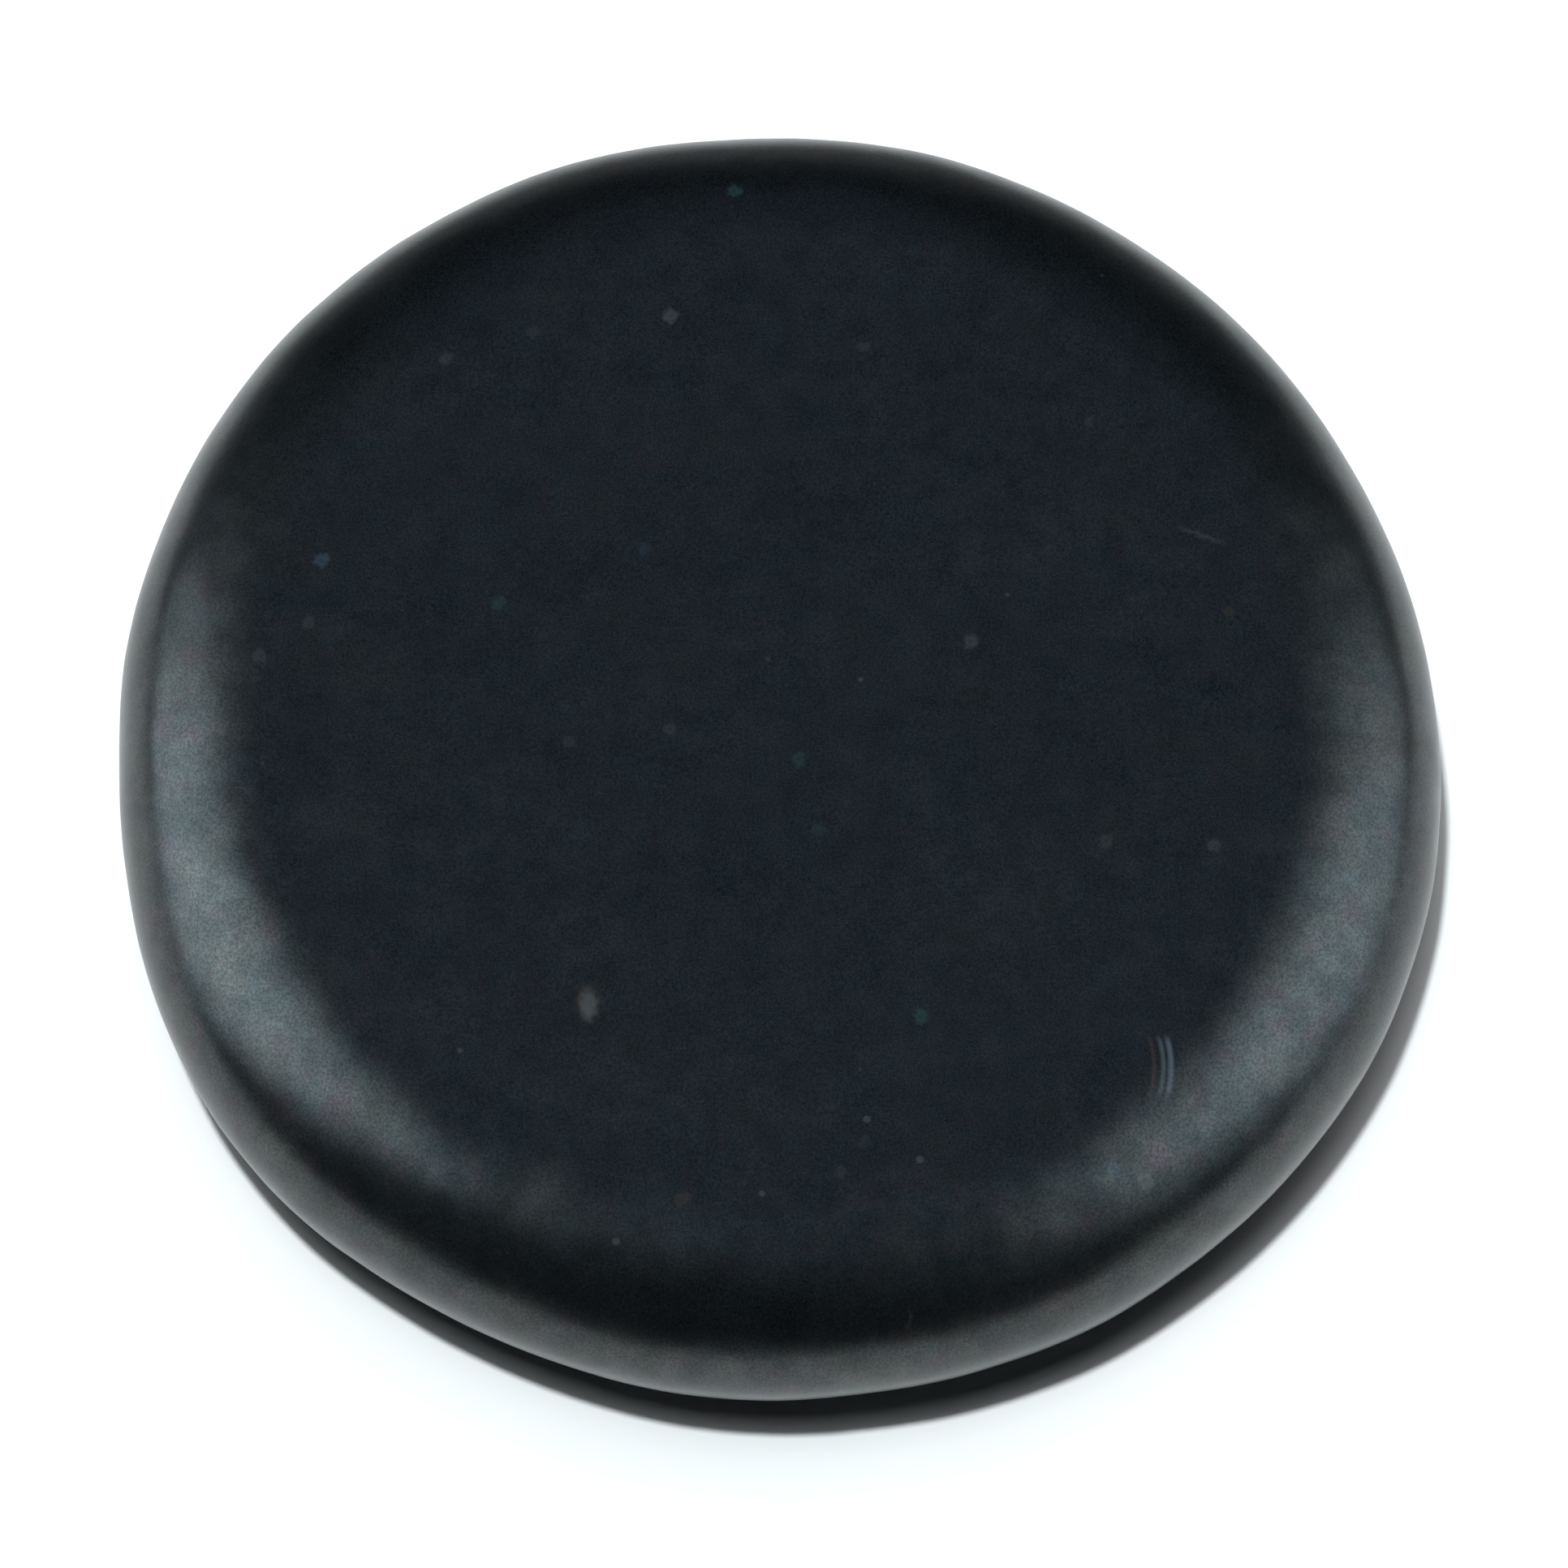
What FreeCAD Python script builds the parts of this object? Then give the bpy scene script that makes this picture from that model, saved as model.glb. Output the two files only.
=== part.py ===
import FreeCAD, Part
import math
import os

# Basalt massage stone: one flat, smooth, nearly round pebble of dark basalt.
# It is a single solid piece of rock, with no moving parts and nothing inside.
#
# Millimetres. +Z is up and +X is the long axis of the slightly oval outline.
# The origin is the centre of the flat underside, which the stone rests on.

NODE = "basalt_stone"

# Driving dimensions
LENGTH = 60.3            # long axis of the outline, along X
WIDTH = 59.9             # short axis of the outline, along Y
THICKNESS = 11.4         # from the flat underside to the middle of the top
CROWN = 0.1              # how far the middle of the top stands above its edge
UNDERSIDE_WEAR = 0.02    # ground off the underside, which leaves a true plane there
SHOULDER_RADIUS = 8.2    # soft bend from each face into the rim, seen in section
SHOULDER_TURN = 38.0     # degrees that a shoulder turns before the rim takes over

# Worked-out dimensions of the half section, before it is worn flat and stretched to the oval
MEAN_RADIUS = (LENGTH + WIDTH) / 4
UNWORN_THICKNESS = THICKNESS + UNDERSIDE_WEAR
MIDDLE = (UNWORN_THICKNESS - CROWN) / 2             # height of the widest level
SLANT = math.radians(SHOULDER_TURN)
SHOULDER_DROP = SHOULDER_RADIUS * (1 - math.cos(SLANT))
RIM_RADIUS = (MIDDLE - SHOULDER_DROP) / math.cos(SLANT)
RIM_CENTRE = MEAN_RADIUS - RIM_RADIUS
SHOULDER_CENTRE = RIM_CENTRE - (SHOULDER_RADIUS - RIM_RADIUS) * math.sin(SLANT)
# The crown is one large arc, through the middle of the top and tangent to the shoulder.
CROWN_RADIUS = (SHOULDER_CENTRE ** 2 / CROWN + 2 * SHOULDER_RADIUS + CROWN) / 2
CROWN_EDGE_SLOPE = math.asin(SHOULDER_CENTRE / (CROWN_RADIUS - SHOULDER_RADIUS))


def arc(centre_radius, centre_height, radius, start, end):
    """Arc in the XZ plane. Its angles turn from straight down, 0, through outwards to up, pi."""
    points = []
    for angle in (start, (start + end) / 2, end):
        x = centre_radius + radius * math.sin(angle)
        z = centre_height - radius * math.cos(angle)
        points.append(FreeCAD.Vector(x, 0, z))
    return Part.Arc(*points).toShape()


def half_section():
    """Closed face between the stone's axis and its outline, walked from the underside up."""
    height = 2 * MIDDLE
    centre_under = FreeCAD.Vector(0, 0, 0)
    centre_top = FreeCAD.Vector(0, 0, UNWORN_THICKNESS)
    flat_edge = FreeCAD.Vector(SHOULDER_CENTRE, 0, 0)
    edges = [
        Part.LineSegment(centre_under, flat_edge).toShape(),
        arc(SHOULDER_CENTRE, SHOULDER_RADIUS, SHOULDER_RADIUS, 0, SLANT),
        arc(RIM_CENTRE, MIDDLE, RIM_RADIUS, SLANT, math.pi - SLANT),
        arc(SHOULDER_CENTRE, height - SHOULDER_RADIUS, SHOULDER_RADIUS,
            math.pi - SLANT, math.pi - CROWN_EDGE_SLOPE),
        arc(0, UNWORN_THICKNESS - CROWN_RADIUS, CROWN_RADIUS,
            math.pi - CROWN_EDGE_SLOPE, math.pi),
        Part.LineSegment(centre_top, centre_under).toShape(),
    ]
    return Part.Face(Part.Wire(edges))


def unworn_stone():
    """The round stone of that section, stretched to its length and its width."""
    axis_point = FreeCAD.Vector(0, 0, 0)
    axis = FreeCAD.Vector(0, 0, 1)
    round_stone = half_section().revolve(axis_point, axis, 360)
    stretch = FreeCAD.Matrix()
    stretch.scale(LENGTH / 2 / MEAN_RADIUS, WIDTH / 2 / MEAN_RADIUS, 1)
    return round_stone.transformGeometry(stretch)


def grinding_block():
    """Block wider than the stone, whose top face is the plane that the underside is worn to."""
    corner = FreeCAD.Vector(-LENGTH, -WIDTH, UNDERSIDE_WEAR - THICKNESS)
    return Part.makeBox(2 * LENGTH, 2 * WIDTH, THICKNESS, corner)


def basalt_stone():
    """The finished stone, with its underside worn flat and lying on z = 0."""
    stone = unworn_stone().cut(grinding_block()).Solids[0]
    stone.translate(FreeCAD.Vector(0, 0, -UNDERSIDE_WEAR))
    return stone


def main():
    os.makedirs("parts", exist_ok=True)
    stone = basalt_stone()
    box = stone.optimalBoundingBox(False, False)
    print(NODE, "valid" if stone.isValid() else "NOT VALID", "faces", len(stone.Faces))
    print("size mm", round(box.XLength, 3), round(box.YLength, 3), round(box.ZLength, 3))
    print("lowest z mm", round(box.ZMin, 4), "volume cm3", round(stone.Volume / 1000, 3))
    print("rim radius mm", round(RIM_RADIUS, 2), "shoulder starts at mm", round(SHOULDER_CENTRE, 2))
    stone.exportStep(os.path.join("parts", NODE + ".step"))


main()
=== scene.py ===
import math

import bmesh
import bpy
import numpy as np
from mathutils import Matrix, Vector


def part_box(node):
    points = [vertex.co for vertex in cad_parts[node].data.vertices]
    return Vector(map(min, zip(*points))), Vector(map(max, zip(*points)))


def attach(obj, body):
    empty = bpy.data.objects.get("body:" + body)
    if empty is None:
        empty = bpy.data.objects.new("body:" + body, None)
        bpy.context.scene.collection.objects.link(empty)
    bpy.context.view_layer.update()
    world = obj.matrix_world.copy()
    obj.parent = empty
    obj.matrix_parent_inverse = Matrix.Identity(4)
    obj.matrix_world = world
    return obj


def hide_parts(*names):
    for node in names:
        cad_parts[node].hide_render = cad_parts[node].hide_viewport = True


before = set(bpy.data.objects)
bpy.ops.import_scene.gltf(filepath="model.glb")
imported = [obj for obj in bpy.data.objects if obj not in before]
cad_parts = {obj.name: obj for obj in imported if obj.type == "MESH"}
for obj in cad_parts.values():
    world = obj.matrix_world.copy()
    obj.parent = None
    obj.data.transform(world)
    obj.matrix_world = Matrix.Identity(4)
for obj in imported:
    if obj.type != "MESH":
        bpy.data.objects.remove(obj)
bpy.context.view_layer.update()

MM = 0.001
NODE = "basalt_stone"
LOW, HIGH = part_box(NODE)
HALF_LENGTH = (HIGH.x - LOW.x) / 2
HALF_WIDTH = (HIGH.y - LOW.y) / 2
THICKNESS = HIGH.z - LOW.z
RADIUS = (HALF_LENGTH + HALF_WIDTH) / 2
CENTRE = (LOW + HIGH) / 2

# Section of the stone: the same arcs as the solid has
CROWN = 0.1 * MM
SHOULDER_RADIUS = 8.2 * MM
SHOULDER_TURN = math.radians(38)
SECTION_STEPS = 400             # points on each shoulder and face; the rim has twice as many
SURFACE_CUTS = 127              # cuts across each side of the cube that the mesh starts from

# The outline isn't a true circle: lobes around the stone, their height in mm and the direction of one
OUTLINE_WAVES = [(2, 0.135, 6), (3, 0.155, 36), (4, 0.095, 4), (5, 0.085, 50), (6, 0.05, 30),
                 (7, 0.045, 10), (8, 0.035, 43)]

# The upper face sits a little off the outline's middle: mm to the camera's right, mm away from it
FACE_OFFSET = (0.0, 0.2)
LEAN_HEIGHT = 0.38 * THICKNESS  # above the stone's middle, where the upper half is fully moved over

# Relief of the hand-polished surface: wavelength in mm, height in mm, seed
RELIEF = [(14, 0.035, 11), (6, 0.014, 12), (2, 0.003, 13)]
RELIEF_WAVES = 24
REST_HEIGHT = 0.4 * MM          # the relief fades in over this height, above the flat underneath

# Mineral flecks on the upper face, as seen from the camera: mm to the right of the middle and mm
# away from the camera, half width, half length, turn in degrees, tint, strength
FLECKS = [
    (-8.0, -13.5, 0.46, 0.85, 4, "pale", 0.72),
    (-8.0, -13.4, 0.74, 1.05, 4, "warm", 0.32),
    (-1.6, 25.7, 0.42, 0.42, 0, "teal", 0.8),
    (-4.5, 19.4, 0.40, 0.45, 0, "pale", 0.45),
    (-20.1, 7.6, 0.42, 0.42, 20, "blue", 0.9),
    (-12.1, 5.5, 0.42, 0.40, 0, "teal", 0.5),
    (9.0, 3.7, 0.40, 0.42, 0, "pale", 0.35),
    (6.7, -14.0, 0.42, 0.45, 0, "teal", 0.75),
    (15.2, -20.9, 0.38, 0.40, 30, "blue", 0.9),
    (16.6, -21.3, 0.42, 0.45, 10, "pale", 0.8),
    (9.8, 27.2, 0.40, 0.36, 0, "pale", 0.35),
    (1.3, -1.9, 0.40, 0.45, 0, "teal", 0.5),
    (2.2, -5.2, 0.36, 0.40, 0, "teal", 0.25),
    (-22.8, 3.0, 0.38, 0.40, 0, "pale", 0.25),
    (-20.6, 4.6, 0.36, 0.38, 0, "pale", 0.2),
    (-14.6, 17.3, 0.38, 0.38, 0, "pale", 0.2),
    (-5.6, 8.1, 0.36, 0.34, 0, "blue", 0.3),
    (15.0, -5.8, 0.36, 0.40, 0, "pale", 0.18),
    (19.8, -6.0, 0.38, 0.36, 0, "pale", 0.24),
    (-4.4, -0.5, 0.36, 0.38, 0, "pale", 0.2),
    (14.4, 14.2, 0.34, 0.34, 0, "pale", 0.15),
    (-8.9, -1.1, 0.34, 0.34, 0, "pale", 0.14),
    (4.2, -19.8, 0.34, 0.36, 0, "teal", 0.3),
    (3.2, -21.2, 0.34, 0.34, 0, "pale", 0.15),
    (-3.8, -22.4, 0.42, 0.42, 0, "warm", 0.25),
    (4.3, 17.9, 0.34, 0.34, 0, "pale", 0.13),
    (20.6, 5.1, 0.34, 0.34, 0, "warm", 0.2),
    (-10.7, 18.6, 0.34, 0.34, 0, "pale", 0.13),
    (19.3, 8.8, 0.16, 1.35, 69, "pale", 0.22),
    (6.2, -27.4, 0.10, 0.70, 0, "pale", 0.15),
]
BIG_FLECK = 0.6                 # half length in mm, above which a fleck is even all over
TINTS = {
    "warm": (0.034, 0.021, 0.011),
    "pale": (0.036, 0.043, 0.046),
    "teal": (0.008, 0.022, 0.024),
    "blue": (0.011, 0.022, 0.036),
}
PIT_DEPTH = 0.02 * MM
PIT_REACH = 0.4                 # least radius in mm of the hollow at a fleck
RAGGED = 0.5                    # how far in mm the edges of the flecks are shifted about
RAGGED_PER_MM = 3.5             # how often they waver

# A pale vein in the same frame: short arcs about one centre, each with its radius and half width
# in mm, and its colour
VEIN_CENTRE = (12.75, -16.3)
VEIN_HALF_LENGTH = 1.6
VEIN_SOLID = 0.6                # share of its half length over which the vein doesn't fade
VEIN = [
    (5.00, 0.20, (0.034, 0.046, 0.060)),
    (4.66, 0.17, (0.022, 0.034, 0.038)),
    (4.25, 0.17, (0.013, 0.009, 0.007)),
]

# Colours of the rock: fine dust in its surface, scattered crystals, and the tints of its gloss
DUST_DARK = (0.0, 0.0002, 0.0004)
DUST_PALE = (0.0038, 0.0050, 0.0062)
CRYSTAL = (0.045, 0.055, 0.06)
CRYSTALS_PER_MM = 0.45
CRYSTAL_SIZE = 0.11             # of the largest, as a share of the space between them
CRYSTAL_STRENGTH = 0.3
GLOSS_BLUE = (0.64, 0.76, 0.79)
GLOSS_GREY = (0.74, 0.79, 0.77)
GLOSS_VIOLET = (0.82, 0.73, 0.80)
ROCK_IOR = 1.8
BUMP_HEIGHT = 0.002 * MM

# The camera looks from here; the lights are placed round the same direction
VIEW_AZIMUTH = math.radians(52.3)
VIEW_ELEVATION = math.radians(70.3)
CAMERA_DISTANCE = 0.5           # metres
FRAME_WIDTH = 70.72 * MM        # width of the view at the stone's middle
AIM_RIGHT = 0.66 * MM           # the view's middle lies this far to the right of the stone's
AIM_DOWN = 1.025 * MM           # and this far below it

# Colours of the lights and the floor
COOL = (0.86, 0.97, 1.02)       # the softboxes
SKY = (0.68, 1, 1.36)           # the glow overhead
WHITE = (1, 1, 1)               # the fill
KEY_COLOUR = (0.95, 1, 1.01)
HAZE = (0.01, 0.013, 0.016)     # all that the stone mirrors beyond the lights and the floor
FLOOR_COLOUR = (0.82, 0.83, 0.84)
FLOOR_PAINTED_SHADE = (0.2, 0.2, 0.2)   # painted shade: the floor's colour as the stone mirrors it behind itself
FLOOR_ALBEDO = 0.83             # share of the light that the floor throws back
FLOOR_REACH = 3.0               # half the side of the floor, in metres
FLOOR_GAP = 0.01 * MM           # keeps the floor off the face that the stone stands on
PAINTED_SHADE_FROM = 33 * MM           # the painted shade on the mirrored floor deepens between these distances behind the stone's middle
PAINTED_SHADE_TO = 60 * MM             # stone's middle
KEY_BRIGHTNESS = 0.74           # floor's radiance under the key lamp alone, where white is 1
HALO_BRIGHTNESS = 0.18          # the same for the glow round the key lamp, which softens its shadow


# ---------------------------------------------------------------- the stone's mesh

def arc_points(centre, radius, start, end, count):
    """Points (distance from the axis, height) along an arc whose angle 0 faces down."""
    angle = np.linspace(start, end, count)
    return np.stack([centre[0] + radius * np.sin(angle), centre[1] - radius * np.cos(angle)], 1)


def half_section():
    """The stone's section from the middle of its underside, round the rim, to the middle of its top."""
    height = THICKNESS - CROWN
    middle = height / 2
    rim = (middle - SHOULDER_RADIUS * (1 - math.cos(SHOULDER_TURN))) / math.cos(SHOULDER_TURN)
    rim_centre = RADIUS - rim
    shoulder_centre = rim_centre - (SHOULDER_RADIUS - rim) * math.sin(SHOULDER_TURN)
    crown = (shoulder_centre ** 2 / CROWN + 2 * SHOULDER_RADIUS + CROWN) / 2
    crown_edge = math.asin(shoulder_centre / (crown - SHOULDER_RADIUS))
    flat = np.stack([np.linspace(0, shoulder_centre, SECTION_STEPS), np.zeros(SECTION_STEPS)], 1)
    spans = [
        flat,
        arc_points((shoulder_centre, SHOULDER_RADIUS), SHOULDER_RADIUS, 0, SHOULDER_TURN, SECTION_STEPS),
        arc_points((rim_centre, middle), rim, SHOULDER_TURN, math.pi - SHOULDER_TURN, 2 * SECTION_STEPS),
        arc_points((shoulder_centre, height - SHOULDER_RADIUS), SHOULDER_RADIUS,
                   math.pi - SHOULDER_TURN, math.pi - crown_edge, SECTION_STEPS),
        arc_points((0, THICKNESS - crown), crown, math.pi - crown_edge, math.pi, SECTION_STEPS),
    ]
    points = np.concatenate([spans[0]] + [span[1:] for span in spans[1:]])
    points[-1, 0] = 0               # the last point lies exactly on the axis
    return points


def cube_sphere(cuts):
    """A mesh of even squares with no poles: a finely cut cube, blown up to a unit sphere."""
    mesh = bpy.data.meshes.new(NODE + "_surface")
    grid = bmesh.new()
    bmesh.ops.create_cube(grid, size=2)
    bmesh.ops.subdivide_edges(grid, edges=grid.edges[:], cuts=cuts, use_grid_fill=True)
    grid.to_mesh(mesh)
    grid.free()
    co = np.empty(len(mesh.vertices) * 3)
    mesh.vertices.foreach_get("co", co)
    co = np.tan(co.reshape(-1, 3) * math.pi / 4)
    return mesh, co / np.linalg.norm(co, axis=1, keepdims=True)


def on_section(directions):
    """Where each direction of the sphere lies on the stone, sharing out the area evenly."""
    section = half_section()
    step = np.linalg.norm(np.diff(section, axis=0), axis=1)
    ring = step * (section[1:, 0] + section[:-1, 0])
    share = np.concatenate([[0], np.cumsum(ring)]) / ring.sum()
    wanted = (1 + directions[:, 2]) / 2
    rho = np.interp(wanted, share, section[:, 0])
    height = np.interp(wanted, share, section[:, 1])
    return rho, height


def outline(around):
    """Radius of the worn outline over the mean radius, in each direction around the stone."""
    factor = np.ones_like(around)
    for lobes, height, peak in OUTLINE_WAVES:
        factor += height * MM / RADIUS * np.cos(lobes * (around - math.radians(peak)))
    return factor


def fit_to_box(co):
    """The points, stretched by a hair so that they just fill the CAD box."""
    low, high = co.min(0), co.max(0)
    return np.array(LOW) + (co - low) * (np.array(HIGH - LOW) / (high - low))


def lean(co):
    """The points of the upper half moved sideways, the more so the higher up they are."""
    rise = np.clip((co[:, 2] - CENTRE.z) / LEAN_HEIGHT, 0, 1)
    rise = rise * rise * (3 - 2 * rise)
    offset = Matrix.Rotation(VIEW_AZIMUTH, 2) @ Vector(FACE_OFFSET) * MM
    return co + rise[:, None] * np.array((offset.x, offset.y, 0))


def ripples(co, wavelength, height, seed):
    """Gentle undulation of the surface: plane waves in random directions, added up."""
    random = np.random.default_rng(seed)
    total = np.zeros(len(co))
    for _ in range(RELIEF_WAVES):
        heading = random.normal(size=3)
        heading *= 2 * math.pi / (wavelength * MM) / np.linalg.norm(heading)
        total += np.cos(co @ heading + random.uniform(0, 2 * math.pi))
    return total * height * MM * math.sqrt(2 / RELIEF_WAVES)


def pits(co):
    """Shallow hollows where the flecks have worn a little deeper than the stone round them."""
    turn = Matrix.Rotation(VIEW_AZIMUTH, 2)
    depth = np.zeros(len(co))
    upper = co[:, 2] > CENTRE.z
    for x, y, half_width, half_length, _, _, strength in FLECKS:
        centre = turn @ Vector((x, y)) * MM + CENTRE.xy
        reach = max(PIT_REACH, (half_width + half_length) / 2) * MM
        distance = np.hypot(co[:, 0] - centre.x, co[:, 1] - centre.y) / reach
        depth -= upper * PIT_DEPTH * strength * np.clip(1 - distance ** 2, 0, 1) ** 2
    return depth


def worn(mesh, co):
    """The points moved in and out along the normals, except on the flat that the stone rests on."""
    normals = np.empty(len(co) * 3)
    mesh.vertices.foreach_get("normal", normals)
    moved = pits(co)
    for wavelength, height, seed in RELIEF:
        moved += ripples(co, wavelength, height, seed)
    moved *= np.clip((co[:, 2] - LOW.z) / REST_HEIGHT, 0, 1)
    return co + normals.reshape(-1, 3) * moved[:, None]


def build_stone():
    """The stone as one closed mesh: section, wavy outline, leaning top, then wear."""
    mesh, directions = cube_sphere(SURFACE_CUTS)
    rho, height = on_section(directions)
    around = np.arctan2(directions[:, 1], directions[:, 0])
    rho = rho * outline(around)
    co = fit_to_box(lean(np.stack([rho * np.cos(around), rho * np.sin(around), height], 1)))
    mesh.vertices.foreach_set("co", co.ravel())
    mesh.update()
    co = fit_to_box(worn(mesh, co))
    mesh.vertices.foreach_set("co", co.ravel())
    mesh.update()
    mesh.shade_smooth()
    stone = bpy.data.objects.new("massage_stone", mesh)
    bpy.context.scene.collection.objects.link(stone)
    return stone


# ---------------------------------------------------------------- material

def math_node(tree, operation, *values):
    """Math on numbers or sockets."""
    node = tree.nodes.new("ShaderNodeMath")
    node.operation = operation
    for socket, value in zip(node.inputs, values):
        if isinstance(value, (int, float)):
            socket.default_value = value
        else:
            tree.links.new(value, socket)
    return node.outputs[0]


def remap(tree, value, low, high, to_low, to_high):
    """A value eased from one range into another and held at its ends."""
    node = tree.nodes.new("ShaderNodeMapRange")
    node.interpolation_type = "SMOOTHSTEP"
    tree.links.new(value, node.inputs["Value"])
    node.inputs["From Min"].default_value = low
    node.inputs["From Max"].default_value = high
    node.inputs["To Min"].default_value = to_low
    node.inputs["To Max"].default_value = to_high
    return node.outputs[0]


def mixed(tree, blend, amount, first, second):
    """Two colours blended; each input is a socket, a colour or, for the amount, a number."""
    node = tree.nodes.new("ShaderNodeMix")
    node.data_type = "RGBA"
    node.blend_type = blend
    given = {"Factor": amount, 6: first, 7: second}
    for key, value in given.items():
        socket = node.inputs[key]
        if isinstance(value, (int, float)):
            socket.default_value = value
        elif isinstance(value, tuple):
            socket.default_value = (*value, 1)
        else:
            tree.links.new(value, socket)
    return node.outputs[2]


def cloudy(tree, place, per_mm, detail, seed):
    """Noise with so many patches per mm; the seed moves it, so that no two are alike."""
    node = tree.nodes.new("ShaderNodeTexNoise")
    node.noise_dimensions = "4D"
    node.inputs["W"].default_value = seed
    node.inputs["Scale"].default_value = per_mm
    node.inputs["Detail"].default_value = detail
    tree.links.new(place, node.inputs["Vector"])
    return node.outputs["Fac"]


def place_in_mm(tree):
    """Places on the stone in mm from its middle, turned to the camera's right and away from it."""
    node = tree.nodes.new("ShaderNodeMapping")
    node.vector_type = "TEXTURE"
    node.inputs["Location"].default_value = CENTRE
    node.inputs["Rotation"].default_value = (0, 0, VIEW_AZIMUTH)
    node.inputs["Scale"].default_value = (MM, MM, MM)
    where = tree.nodes.new("ShaderNodeTexCoord")
    tree.links.new(where.outputs["Object"], node.inputs["Vector"])
    return node.outputs[0]


def only_above(tree, place):
    """1 on the upper half of the stone, 0 on the lower half."""
    apart = tree.nodes.new("ShaderNodeSeparateXYZ")
    tree.links.new(place, apart.inputs[0])
    return remap(tree, apart.outputs["Z"], 0, 1, 0, 1)


def fleck_mask(tree, ragged, fleck):
    """Cover of one fleck: a soft spot. A small one is fainter in the middle, like a filled bubble."""
    x, y, half_width, half_length, turn, _, strength = fleck
    local = tree.nodes.new("ShaderNodeMapping")
    local.vector_type = "TEXTURE"
    local.inputs["Location"].default_value = (x, y, 0)
    local.inputs["Rotation"].default_value = (0, 0, math.radians(turn))
    local.inputs["Scale"].default_value = (half_width, half_length, 1000)
    tree.links.new(ragged, local.inputs["Vector"])
    length = tree.nodes.new("ShaderNodeVectorMath")
    length.operation = "LENGTH"
    tree.links.new(local.outputs[0], length.inputs[0])
    spot = remap(tree, length.outputs["Value"], 0.35, 1.1, strength, 0)
    if max(half_width, half_length) > BIG_FLECK:
        return spot
    return math_node(tree, "MULTIPLY", spot, remap(tree, length.outputs["Value"], 0, 0.5, 0.5, 1))


def ragged_place(tree, place):
    """The places shifted about by a fraction of a mm, so that flecks have ragged edges."""
    noise_node = tree.nodes.new("ShaderNodeTexNoise")
    noise_node.inputs["Scale"].default_value = RAGGED_PER_MM
    noise_node.inputs["Detail"].default_value = 2
    tree.links.new(place, noise_node.inputs["Vector"])
    shift = tree.nodes.new("ShaderNodeVectorMath")
    shift.operation = "MULTIPLY_ADD"
    shift.inputs[1].default_value = (RAGGED, RAGGED, RAGGED)
    tree.links.new(noise_node.outputs["Color"], shift.inputs[0])
    tree.links.new(place, shift.inputs[2])
    back = tree.nodes.new("ShaderNodeVectorMath")
    back.operation = "SUBTRACT"
    back.inputs[1].default_value = (RAGGED / 2, RAGGED / 2, RAGGED / 2)
    tree.links.new(shift.outputs[0], back.inputs[0])
    return back.outputs[0]


def with_flecks(tree, colour, place, above):
    """The colour with each tint of fleck laid over it."""
    ragged = ragged_place(tree, place)
    for tint, tint_colour in TINTS.items():
        cover = 0.0
        for fleck in FLECKS:
            if fleck[5] == tint:
                cover = math_node(tree, "MAXIMUM", cover, fleck_mask(tree, ragged, fleck))
        cover = math_node(tree, "MULTIPLY", cover, above)
        colour = mixed(tree, "MIX", cover, colour, tint_colour)
    return colour


def with_vein(tree, colour, place, above):
    """The vein's arcs, which bulge to the right and fade out at both ends."""
    local = tree.nodes.new("ShaderNodeVectorMath")
    local.operation = "SUBTRACT"
    local.inputs[1].default_value = (*VEIN_CENTRE, 0)
    tree.links.new(place, local.inputs[0])
    apart = tree.nodes.new("ShaderNodeSeparateXYZ")
    tree.links.new(local.outputs[0], apart.inputs[0])
    across = math_node(tree, "POWER", apart.outputs["X"], 2)
    along = math_node(tree, "POWER", apart.outputs["Y"], 2)
    distance = math_node(tree, "SQRT", math_node(tree, "ADD", across, along))
    ends = remap(tree, math_node(tree, "SQRT", along), VEIN_HALF_LENGTH * VEIN_SOLID, VEIN_HALF_LENGTH, 1, 0)
    right = remap(tree, apart.outputs["X"], 0, 1, 0, 1)
    short = math_node(tree, "MULTIPLY", math_node(tree, "MULTIPLY", ends, right), above)
    for radius, half_width, vein_colour in VEIN:
        off = math_node(tree, "ABSOLUTE", math_node(tree, "SUBTRACT", distance, radius))
        cover = math_node(tree, "MULTIPLY", remap(tree, off, 0, half_width, 1, 0), short)
        colour = mixed(tree, "MIX", cover, colour, vein_colour)
    return colour


def with_specks(tree, colour, place):
    """Tiny pale crystals scattered over the whole stone, of different sizes."""
    cells = tree.nodes.new("ShaderNodeTexVoronoi")
    cells.inputs["Scale"].default_value = CRYSTALS_PER_MM
    tree.links.new(place, cells.inputs["Vector"])
    apart = tree.nodes.new("ShaderNodeSeparateColor")
    tree.links.new(cells.outputs["Color"], apart.inputs[0])
    size = remap(tree, apart.outputs["Red"], 0.55, 1, 0, CRYSTAL_SIZE)
    inside = math_node(tree, "SUBTRACT", size, cells.outputs["Distance"])
    cover = remap(tree, inside, 0, 0.05, 0, CRYSTAL_STRENGTH)
    return mixed(tree, "MIX", cover, colour, CRYSTAL)


def rock_colour(tree, place):
    """Nearly black rock with fine dust, crystals, flecks and the vein."""
    above = only_above(tree, place)
    dust = remap(tree, cloudy(tree, place, per_mm=13, detail=1, seed=6), 0.3, 0.7, 0, 1)
    colour = mixed(tree, "MIX", dust, DUST_DARK, DUST_PALE)
    colour = with_specks(tree, colour, place)
    colour = with_flecks(tree, colour, place, above)
    return with_vein(tree, colour, place, above)


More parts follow.
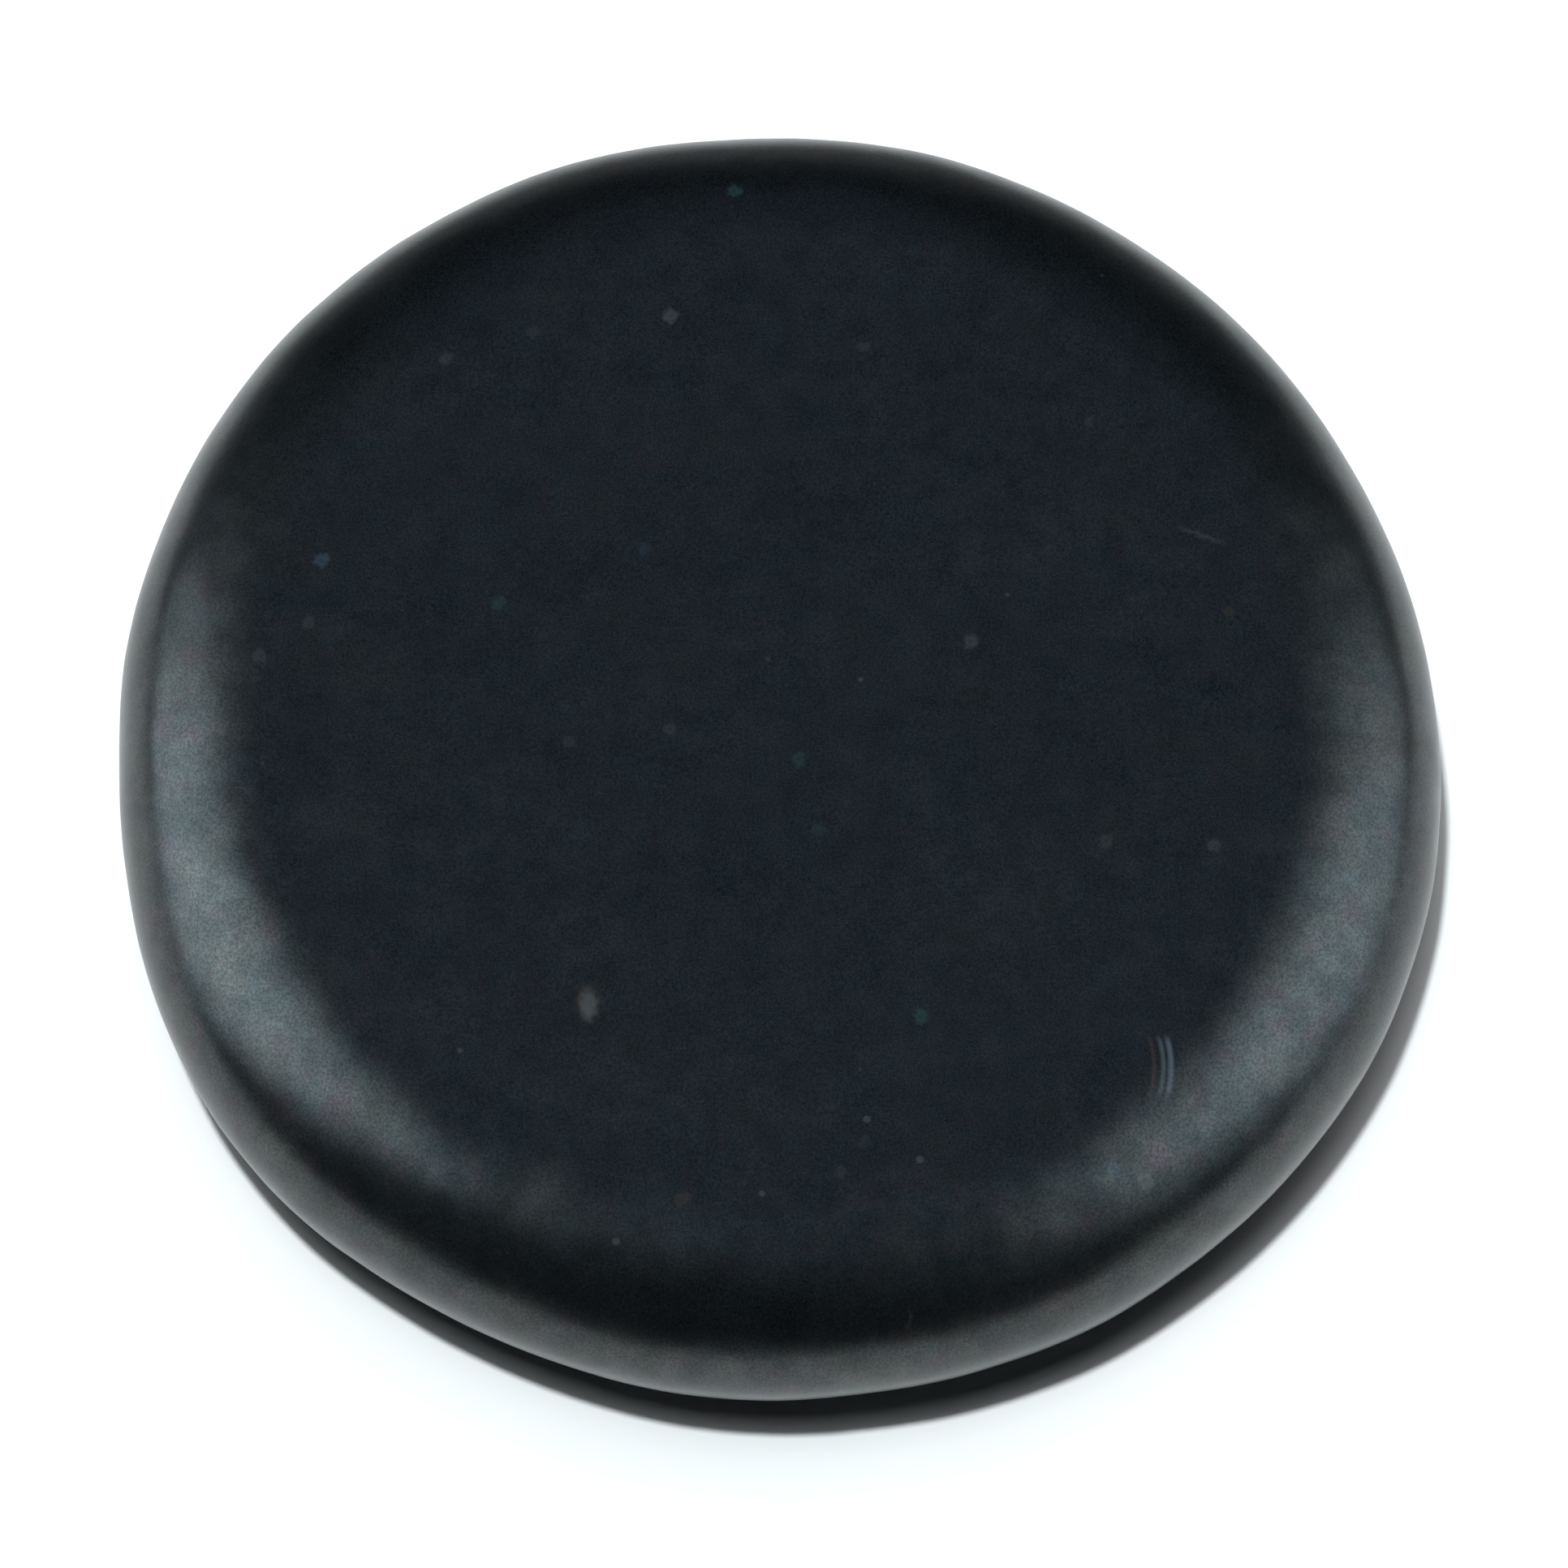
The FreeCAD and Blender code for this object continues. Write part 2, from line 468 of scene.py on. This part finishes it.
def rock_gloss(tree, place, grain):
    """Tint and strength of the gloss: patches of blue, grey and violet, dimmed by cloud and grain."""
    patches = remap(tree, cloudy(tree, place, per_mm=0.5, detail=3, seed=1), 0.35, 0.65, 0, 1)
    violet = remap(tree, cloudy(tree, place, per_mm=0.7, detail=3, seed=2), 0.5, 0.7, 0, 0.9)
    gloss = mixed(tree, "MIX", patches, GLOSS_BLUE, GLOSS_GREY)
    gloss = mixed(tree, "MIX", violet, gloss, GLOSS_VIOLET)
    cloud = remap(tree, cloudy(tree, place, per_mm=0.9, detail=3, seed=5), 0.3, 0.7, 0.72, 1)
    shade = remap(tree, grain, 0.28, 0.72, 0.64, 1.24)
    return mixed(tree, "MULTIPLY", 1.0, gloss, math_node(tree, "MULTIPLY", cloud, shade))


def basalt():
    """Dark blue-grey basalt, polished to a satin: mottled, grainy, with small mineral flecks."""
    mat = bpy.data.materials.new("satin_basalt")
    mat.use_nodes = True
    tree = mat.node_tree
    bsdf = tree.nodes["Principled BSDF"]
    place = place_in_mm(tree)
    grain = cloudy(tree, place, per_mm=9, detail=2, seed=3)
    tree.links.new(rock_colour(tree, place), bsdf.inputs["Base Color"])
    tree.links.new(rock_gloss(tree, place, grain), bsdf.inputs["Specular Tint"])
    satin = remap(tree, cloudy(tree, place, per_mm=0.4, detail=2, seed=4), 0.3, 0.7, 0.275, 0.315)
    tree.links.new(satin, bsdf.inputs["Roughness"])
    bsdf.inputs["IOR"].default_value = ROCK_IOR

    bump = tree.nodes.new("ShaderNodeBump")
    bump.inputs["Distance"].default_value = BUMP_HEIGHT
    tree.links.new(grain, bump.inputs["Height"])
    tree.links.new(bump.outputs[0], bsdf.inputs["Normal"])
    return mat


# ---------------------------------------------------------------- stage, lights and camera

def direction(azimuth, elevation):
    """Unit vector from the stone; azimuth in degrees from the camera's right, turning away from it."""
    a = math.radians(azimuth) + VIEW_AZIMUTH
    e = math.radians(elevation)
    return Vector((math.cos(a) * math.cos(e), math.sin(a) * math.cos(e), math.sin(e)))


def soft_ramp(nodes, stops):
    """Colour ramp that eases from level to level through (place, level) stops."""
    ramp = nodes.new("ShaderNodeValToRGB")
    ramp.color_ramp.interpolation = "EASE"
    marks = ramp.color_ramp.elements
    while len(marks) < len(stops):
        marks.new(0.5)
    for mark, (place, level) in zip(marks, stops):
        mark.position = place
        mark.color = (level, level, level, 1)
    return ramp


def diffuse_cloth(light, across_stops, along_stops):
    """Softbox cloth: its glow fades towards the edges, across its width and along its height."""
    light.use_nodes = True
    nodes, links = light.node_tree.nodes, light.node_tree.links
    place = nodes.new("ShaderNodeSeparateXYZ")
    links.new(nodes.new("ShaderNodeNewGeometry").outputs["Parametric"], place.inputs[0])
    across = soft_ramp(nodes, across_stops)
    along = soft_ramp(nodes, along_stops)
    links.new(place.outputs["X"], across.inputs[0])
    links.new(place.outputs["Y"], along.inputs[0])
    both = nodes.new("ShaderNodeMath")
    both.operation = "MULTIPLY"
    links.new(across.outputs[0], both.inputs[0])
    links.new(along.outputs[0], both.inputs[1])
    links.new(both.outputs[0], nodes["Emission"].inputs["Strength"])


def softbox(name, foot, head, width, distance, radiance, colour, across=None, along=None):
    """Rectangular light from a foot direction up to a head direction, facing the stone."""
    middle = (foot + head).normalized()
    rise = (head - foot) - (head - foot).project(middle)
    side = rise.cross(middle).normalized()
    light = bpy.data.lights.new(name, "AREA")
    light.shape = "RECTANGLE"
    light.size = width * distance
    light.size_y = rise.length * distance
    light.color = colour
    light.energy = radiance * math.pi * light.size * light.size_y
    if across:
        diffuse_cloth(light, across, along)
    lamp = bpy.data.objects.new(name, light)
    axes = Matrix((side, rise.normalized(), middle)).transposed()
    lamp.matrix_world = Matrix.Translation(CENTRE + middle * distance) @ axes.to_4x4()
    lamp.visible_camera = False
    bpy.context.scene.collection.objects.link(lamp)
    return lamp


def behind(tree):
    """Mask of the painted shade on the mirrored floor: 0 round the stone, easing to 1 well behind it."""
    nodes, links = tree.nodes, tree.links
    along = nodes.new("ShaderNodeVectorMath")
    along.operation = "DOT_PRODUCT"
    away = direction(90, 0)
    along.inputs[1].default_value = away
    links.new(nodes.new("ShaderNodeNewGeometry").outputs["Position"], along.inputs[0])
    offset = CENTRE.dot(away)
    return remap(tree, along.outputs["Value"], offset + PAINTED_SHADE_FROM, offset + PAINTED_SHADE_TO, 0, 1)


def pale_floor():
    """Matt near-white floor with painted shade: the stone mirrors it darker where it lies behind the stone.
    """
    mat = bpy.data.materials.new("pale_floor")
    mat.use_nodes = True
    tree = mat.node_tree
    bsdf = tree.nodes["Principled BSDF"]
    bsdf.inputs["Roughness"].default_value = 0.9
    bsdf.inputs["Specular IOR Level"].default_value = 0
    mirrored = tree.nodes.new("ShaderNodeLightPath").outputs["Is Glossy Ray"]
    # painted shade: only glossy rays see the floor behind the stone darkened
    painted_shade = math_node(tree, "MULTIPLY", behind(tree), mirrored)
    colour = mixed(tree, "MIX", painted_shade, FLOOR_COLOUR, FLOOR_PAINTED_SHADE)
    tree.links.new(colour, bsdf.inputs["Base Color"])
    return mat


def build_stage():
    """A plain floor, a hair below the stone."""
    floor_mesh = bpy.data.meshes.new("floor")
    reach = FLOOR_REACH
    z = LOW.z - FLOOR_GAP
    corners = [(-reach, -reach, z), (reach, -reach, z), (reach, reach, z), (-reach, reach, z)]
    floor_mesh.from_pydata(corners, [], [(0, 1, 2, 3)])
    floor = bpy.data.objects.new("floor", floor_mesh)
    bpy.context.scene.collection.objects.link(floor)
    floor.data.materials.append(pale_floor())


def distant_lamp(name, spread, brightness):
    """Even light from high above, a little left and behind; its disc is so many degrees across."""
    light = bpy.data.lights.new(name, "SUN")
    light.angle = math.radians(spread)
    light.color = KEY_COLOUR
    light.energy = brightness * math.pi / FLOOR_ALBEDO
    lamp = bpy.data.objects.new(name, light)
    lamp.matrix_world = direction(163, 83.4).to_track_quat("Z", "Y").to_matrix().to_4x4()
    lamp.visible_glossy = False
    lamp.visible_camera = False
    bpy.context.scene.collection.objects.link(lamp)


def build_lights():
    """Two tall softboxes left and right and a faint one overhead, for the stone's own highlights.

    The floor isn't lit by these three. A lamp high above and a fill from behind light it instead,
    and the stone doesn't mirror those two.
    """
    left = softbox("left_softbox", direction(163, 0), direction(228, 73), width=0.97, distance=0.9,
                   radiance=4.2, colour=COOL, across=[(0, 0), (0.4, 1), (0.6, 1), (1, 0)],
                   along=[(0, 0.85), (0.53, 1), (1, 0.42)])
    right = softbox("right_softbox", direction(14, 0), direction(301, 69), width=1.42, distance=0.9,
                    radiance=3.05, colour=COOL, across=[(0, 0), (0.45, 1), (0.55, 1), (1, 0)],
                    along=[(0, 0.7), (0.58, 1), (1, 0.42)])
    overhead = softbox("overhead", direction(270, 51), direction(90, 10), width=1.45, distance=1.0,
                       radiance=0.178, colour=SKY, across=[(0, 0), (0.5, 1), (1, 0)],
                       along=[(0, 1), (0.3, 1), (1, 0.5)])
    for lamp in (left, right, overhead):
        lamp.visible_diffuse = False
    fill = softbox("fill", direction(90, 35), direction(90, 85), width=1.2, distance=1.2,
                   radiance=1.7, colour=WHITE)
    fill.visible_glossy = False
    distant_lamp("key_lamp", spread=3.5, brightness=KEY_BRIGHTNESS)
    distant_lamp("key_halo", spread=22, brightness=HALO_BRIGHTNESS)


def build_world():
    """White beyond the floor. It lights nothing, and the stone mirrors only a faint haze there."""
    world = bpy.data.worlds.new("studio")
    bpy.context.scene.world = world
    world.use_nodes = True
    nodes, links = world.node_tree.nodes, world.node_tree.links
    nodes.clear()
    out = nodes.new("ShaderNodeOutputWorld")
    mix = nodes.new("ShaderNodeMixShader")
    path = nodes.new("ShaderNodeLightPath")
    haze = nodes.new("ShaderNodeBackground")
    haze.inputs["Color"].default_value = (*HAZE, 1)
    white = nodes.new("ShaderNodeBackground")
    white.inputs["Color"].default_value = (1, 1, 1, 1)
    links.new(path.outputs["Is Glossy Ray"], haze.inputs["Strength"])
    links.new(path.outputs["Is Camera Ray"], mix.inputs["Fac"])
    links.new(haze.outputs[0], mix.inputs[1])
    links.new(white.outputs[0], mix.inputs[2])
    links.new(mix.outputs[0], out.inputs["Surface"])


def build_camera():
    """The photograph's view: the stone nearly fills the square frame, seen from 70 degrees up."""
    cam = bpy.data.cameras.new("camera")
    camera = bpy.data.objects.new("camera", cam)
    bpy.context.scene.collection.objects.link(camera)
    cam.lens = cam.sensor_width * CAMERA_DISTANCE / FRAME_WIDTH
    right = direction(0, 0)
    back = direction(270, math.degrees(VIEW_ELEVATION))
    up = back.cross(right)
    aim = CENTRE + right * AIM_RIGHT - up * AIM_DOWN
    axes = Matrix((right, up, back)).transposed()
    camera.matrix_world = Matrix.Translation(aim + back * CAMERA_DISTANCE) @ axes.to_4x4()
    cam.clip_start, cam.clip_end = 0.01, 20
    bpy.context.scene.camera = camera


stone = build_stone()
stone.data.materials.append(basalt())
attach(stone, "root")
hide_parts(NODE)
build_stage()
build_lights()
build_world()
build_camera()
bpy.context.scene.view_settings.view_transform = "Standard"
